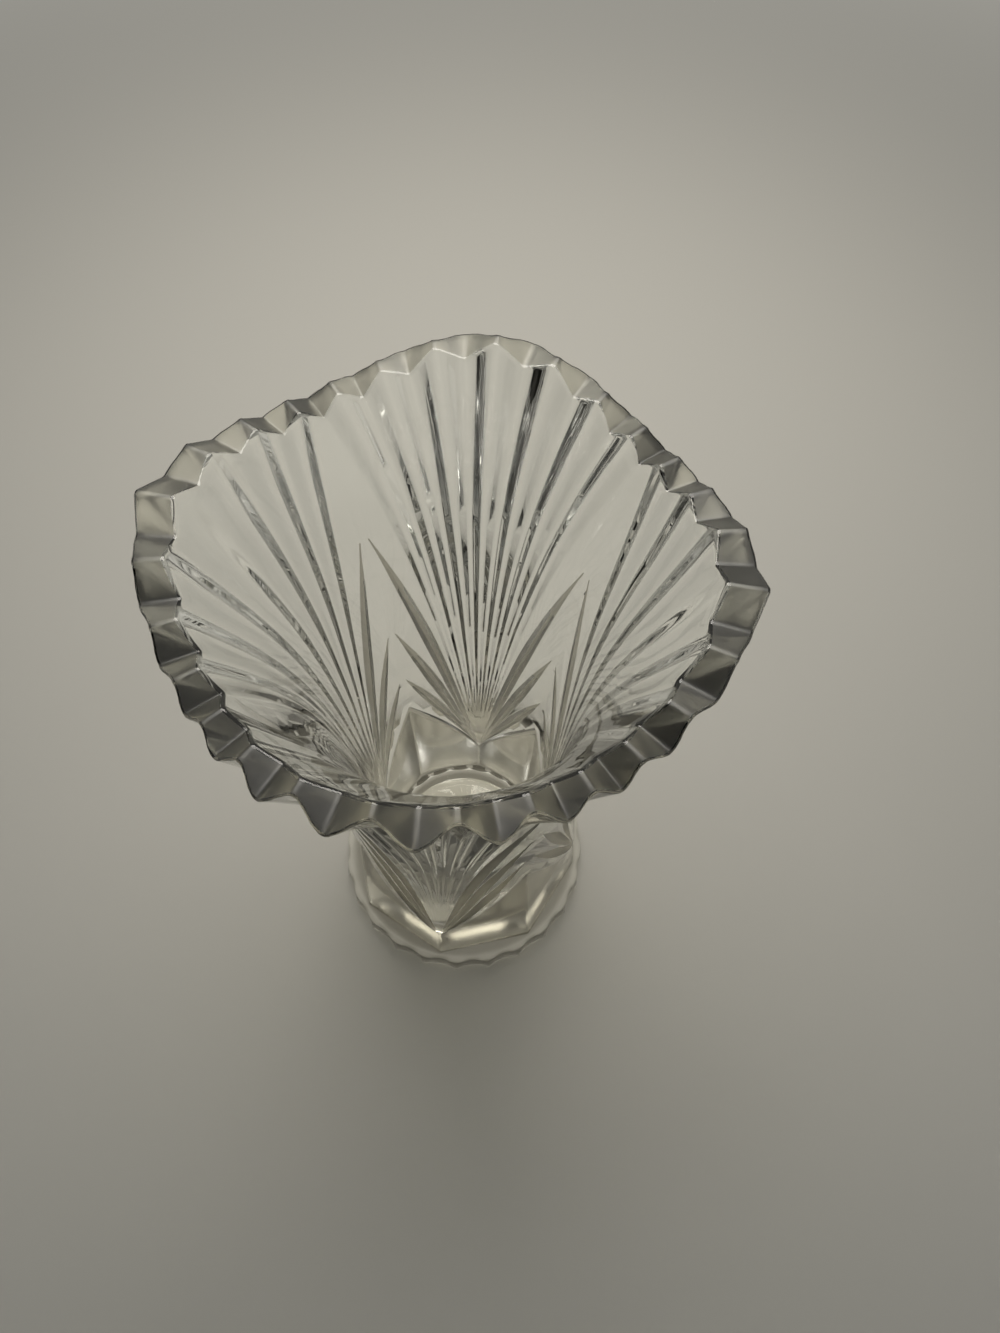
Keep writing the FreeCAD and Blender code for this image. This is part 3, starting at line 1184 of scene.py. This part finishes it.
@dataclass(frozen=True)
class FanVase:
    """The whole vase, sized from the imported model."""

    name: str = "fan_vase"
    least_edge: float = 0.002 * MM

    def sizes(self) -> tuple[Wall, Rim, Foot]:
        """Wall, rim and foot with their height and radius taken from the frame."""
        height = cad_box[1].z / MM
        foot_low, foot_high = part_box("foot")
        wall = Wall(height)
        rim = Rim(height, wall.mouth_outer_radius)
        radius = foot_high.x / MM / math.cos(math.radians(FULL_TURN / Foot.teeth / 2))
        return wall, rim, Foot(radius, (foot_high.z - foot_low.z) / MM)

    def build(self, glass: bpy.types.Material) -> bpy.types.Object:
        """Build the vase as one closed piece.

        Args:
            glass: Material of the vase.

        Returns:
            The finished piece, riding on the root body.
        """
        wall, rim, foot = self.sizes()
        pattern = FanPattern(wall, rim)
        slice_mesh = SectorMesh()
        panels = Panels(wall, foot, pattern.base_height)
        panels.build(slice_mesh, foot.build(slice_mesh))
        top_angles = FanSide(wall, rim, panels, pattern).build(slice_mesh)
        RimEdge(wall, rim, pattern).build(slice_mesh, top_angles)
        Well(wall, rim).build(slice_mesh, top_angles)
        piece = Mould(fans=rim.fans).cast(slice_mesh.to_object("half_fan"), glass, self.name)
        self.close(piece)
        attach(piece, "root")
        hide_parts("foot", "body", "flared_lip")
        return piece

    def close(self, piece: bpy.types.Object) -> None:
        """Drop faces without area and loose points, and turn every face outwards."""
        work = bmesh.new()
        work.from_mesh(piece.data)
        bmesh.ops.dissolve_degenerate(work, dist=self.least_edge, edges=work.edges)
        loose = [point for point in work.verts if not point.link_faces]
        bmesh.ops.delete(work, geom=loose, context="VERTS")
        bmesh.ops.recalc_face_normals(work, faces=work.faces)
        open_edges = sum(1 for edge in work.edges if len(edge.link_faces) != 2)
        log.info("%s: %d faces, %d open edges", piece.name, len(work.faces), open_edges)
        work.to_mesh(piece.data)
        work.free()


@dataclass(frozen=True)
class SoftLamp:
    """Square soft lamp, with its place and aim in metres and its power in watts."""

    name: str
    place: tuple[float, float, float]
    aim: tuple[float, float, float]
    size: float
    power: float
    tint: str

    def build(self) -> bpy.types.Object:
        """Build the lamp and return it."""
        data = bpy.data.lights.new(self.name, "AREA")
        data.shape = "SQUARE"
        data.size = self.size
        data.energy = self.power
        data.color = linear_colour(self.tint)[:3]
        lamp = place_object(self.name, data)
        lamp.location = self.place
        aim = Vector(self.aim) - Vector(self.place)
        lamp.rotation_mode = "QUATERNION"
        lamp.rotation_quaternion = aim.to_track_quat("-Z", "Y")
        return lamp


@dataclass(frozen=True)
class Studio:
    """Floor, lamp, surroundings and camera, with distances in metres and turns in radians."""

    floor_radius: float = 4.0
    floor_segments: int = 96
    floor_colour: str = "#B6B3AC"
    floor_in_glass: str = "#BEBBB3"
    fade_distances: tuple[float, float] = (0.5, 1.5)
    dark_towards: tuple[float, float, float] = (-0.75, -0.66, 0.0)
    dark_distances: tuple[float, float] = (0.35, 0.65)
    gathered: float = 0.45
    gathered_radii: tuple[float, float] = (0.047, 0.058)
    gathered_least: float = 0.2
    overhead: str = "#CCCAC2"
    horizon: str = "#BFBCB3"
    horizon_share: float = 0.52
    below: str = "#BDB9AF"
    below_share: float = 0.42
    shaded_side: str = "#12110E"
    shaded_towards: tuple[float, float, float] = (-0.52, -0.74, 0.42)
    shaded_from: tuple[float, float] = (0.78, 0.92)
    lighting: str = "#50585F"
    camera_radius_mm: float = 143.3
    camera_height_mm: float = 439.1
    camera_pitch: float = 1.06
    camera_yaw: float = 0.105
    camera_roll: float = 0.025
    fan_turn: float = 0.264
    focal_pixels: float = 924.65
    image_height_pixels: float = 1333.0
    sensor_mm: float = 36.0
    lamp: SoftLamp = SoftLamp(
        "soft_lamp_above", (-0.055, 0.33, 0.67), (-0.04, 0.30, 0.0), 0.50, 4.9, "#FFFBF2"
    )

    def paper(self) -> bpy.types.Material:
        """Build the floor's material, with the tones and lights that only glass shows.

        Returns:
            The material, which is plain matt paper where no glass is in front of it.
        """
        material = bpy.data.materials.new("Matt paper")
        tree = empty_tree(material)
        place = add_node(tree, "ShaderNodeTexCoord").outputs["Object"]
        in_glass = add_node(tree, "ShaderNodeLightPath").outputs["Is Transmission Ray"]
        away = add_node(tree, "ShaderNodeVectorMath", {0: place}, operation="LENGTH")
        beyond = add_node(
            tree, "ShaderNodeVectorMath", {0: place, 1: self.dark_towards}, operation="DOT_PRODUCT"
        )
        faded, dark, ring = (
            add_node(
                tree,
                "ShaderNodeMapRange",
                {"Value": value, "From Min": near, "From Max": far, "To Min": least},
                interpolation_type="SMOOTHSTEP",
            )
            for value, (near, far), least in (
                (away, self.fade_distances, 0.0),
                (beyond, self.dark_distances, 0.0),
                (away, self.gathered_radii, self.gathered_least),
            )
        )
        # Light that the glass would gather on the paper is made up for where glass shows it
        tones = {MIX_SHARE: in_glass, MIX_FIRST: linear_colour(self.floor_colour)}
        tones[MIX_SECOND] = linear_colour(self.floor_in_glass)
        tone = add_node(tree, "ShaderNodeMix", tones, data_type="RGBA")
        paper = add_node(tree, "ShaderNodeBsdfDiffuse", {"Color": tone})
        # Far off, past the lamp's reach, the paper runs up into the room as one pale sweep
        sweep = add_node(tree, "ShaderNodeEmission", {"Color": linear_colour(self.horizon)})
        shown = add_node(tree, "ShaderNodeMixShader", {0: faded, 1: paper, 2: sweep})
        # Flutes also show what lies past the paper on the camera's side, where the room is dark:
        # there the paper glows near black as painted shade, which only glass shows
        painted_shade_glow = add_node(tree, "ShaderNodeEmission", {"Color": linear_colour(self.shaded_side)})
        through = add_node(tree, "ShaderNodeMath", {0: dark, 1: in_glass}, operation="MULTIPLY")
        shown = add_node(tree, "ShaderNodeMixShader", {0: through, 1: shown, 2: painted_shade_glow})
        # The foot's edge gathers lamp light in a ring on the paper, which only the glass shows
        strength = ring
        inside = add_node(
            tree, "ShaderNodeMath", {0: away, 1: self.gathered_radii[1]}, operation="LESS_THAN"
        )
        for factor in (inside, in_glass, self.gathered):
            pair = {0: strength, 1: factor}
            strength = add_node(tree, "ShaderNodeMath", pair, operation="MULTIPLY")
        light = {"Color": linear_colour(self.floor_in_glass), "Strength": strength}
        glow = add_node(tree, "ShaderNodeEmission", light)
        shown = add_node(tree, "ShaderNodeAddShader", {0: shown, 1: glow})
        add_node(tree, "ShaderNodeOutputMaterial", {"Surface": shown})
        return material

    def floor(self) -> bpy.types.Object:
        """Build the floor and return it."""
        mesh = bpy.data.meshes.new("floor")
        work = bmesh.new()
        size = {"radius": self.floor_radius, "segments": self.floor_segments}
        bmesh.ops.create_circle(work, cap_ends=True, **size)
        work.to_mesh(mesh)
        work.free()
        mesh.materials.append(self.paper())
        floor = place_object("floor", mesh)
        return floor

    def surroundings(self) -> None:
        """Light the scene with an even grey room that is dark on the camera's side."""
        world = bpy.data.worlds.new("Room")
        bpy.context.scene.world = world
        tree = empty_tree(world)
        place = add_node(tree, "ShaderNodeTexCoord").outputs["Generated"]
        height = add_node(tree, "ShaderNodeSeparateXYZ", {0: place}).outputs["Z"]
        rise = {"Value": height, "From Min": -1.0, "From Max": 1.0}
        up = add_node(tree, "ShaderNodeMapRange", rise)
        sky = add_node(tree, "ShaderNodeValToRGB", {0: up})
        stops = sky.color_ramp.elements
        stops[0].position = self.below_share
        stops[0].color = linear_colour(self.below)
        stops[1].color = linear_colour(self.overhead)
        stops.new(self.horizon_share).color = linear_colour(self.horizon)
        towards = {0: place, 1: self.shaded_towards}
        facing = add_node(tree, "ShaderNodeVectorMath", towards, operation="DOT_PRODUCT")
        edge, core = self.shaded_from
        span = {"Value": facing, "From Min": edge, "From Max": core}
        shade = add_node(tree, "ShaderNodeMapRange", span, interpolation_type="SMOOTHSTEP")
        sides = {MIX_SHARE: shade, MIX_FIRST: sky, MIX_SECOND: linear_colour(self.shaded_side)}
        room = add_node(tree, "ShaderNodeMix", sides, data_type="RGBA")
        # Camera and glass see the room, while the floor is lit by its softer, dimmer mean
        path = add_node(tree, "ShaderNodeLightPath")
        seen = path.outputs["Is Camera Ray"]
        for kind in ("Is Glossy Ray", "Is Transmission Ray"):
            either = {0: seen, 1: path.outputs[kind]}
            seen = add_node(tree, "ShaderNodeMath", either, operation="MAXIMUM")
        looks = {MIX_SHARE: seen, MIX_FIRST: linear_colour(self.lighting), MIX_SECOND: room}
        shown = add_node(tree, "ShaderNodeMix", looks, data_type="RGBA")
        light = add_node(tree, "ShaderNodeBackground", {"Color": shown, "Strength": 1.0})
        add_node(tree, "ShaderNodeOutputWorld", {"Surface": light})

    def camera(self) -> bpy.types.Object:
        """Build the camera where the photograph was taken from and return it."""
        ahead = Vector((
            math.sin(self.camera_yaw) * math.cos(self.camera_pitch),
            math.cos(self.camera_yaw) * math.cos(self.camera_pitch),
            -math.sin(self.camera_pitch),
        ))
        level = Vector((math.cos(self.camera_yaw), -math.sin(self.camera_yaw), 0.0))
        upright = level.cross(ahead)
        roll_cos, roll_sin = math.cos(self.camera_roll), math.sin(self.camera_roll)
        right = roll_cos * level + roll_sin * upright
        up = -roll_sin * level + roll_cos * upright
        turn = Matrix.Rotation(self.fan_turn, 3, "Z")
        axes = Matrix((turn @ right, turn @ up, turn @ -ahead)).transposed()
        data = bpy.data.cameras.new("camera")
        data.sensor_width = self.sensor_mm
        data.lens = self.sensor_mm * self.focal_pixels / self.image_height_pixels
        camera = place_object("camera", data)
        place = turn @ Vector((0.0, -self.camera_radius_mm, self.camera_height_mm)) * MM
        camera.matrix_world = Matrix.Translation(place) @ axes.to_4x4()
        bpy.context.scene.camera = camera
        return camera

    def build(self) -> None:
        """Build the whole studio."""
        self.floor()
        self.surroundings()
        self.lamp.build()
        self.camera()
        bpy.context.scene.view_settings.view_transform = "Standard"


def main() -> None:
    """Build the vase and the studio."""
    logging.basicConfig(level=logging.INFO)
    piece = FanVase().build(PressedGlass().material())
    log.info("%s: %d triangles", piece.name, sum(len(p.vertices) - 2 for p in piece.data.polygons))
    Studio().build()


if __name__ == "__main__":
    main()
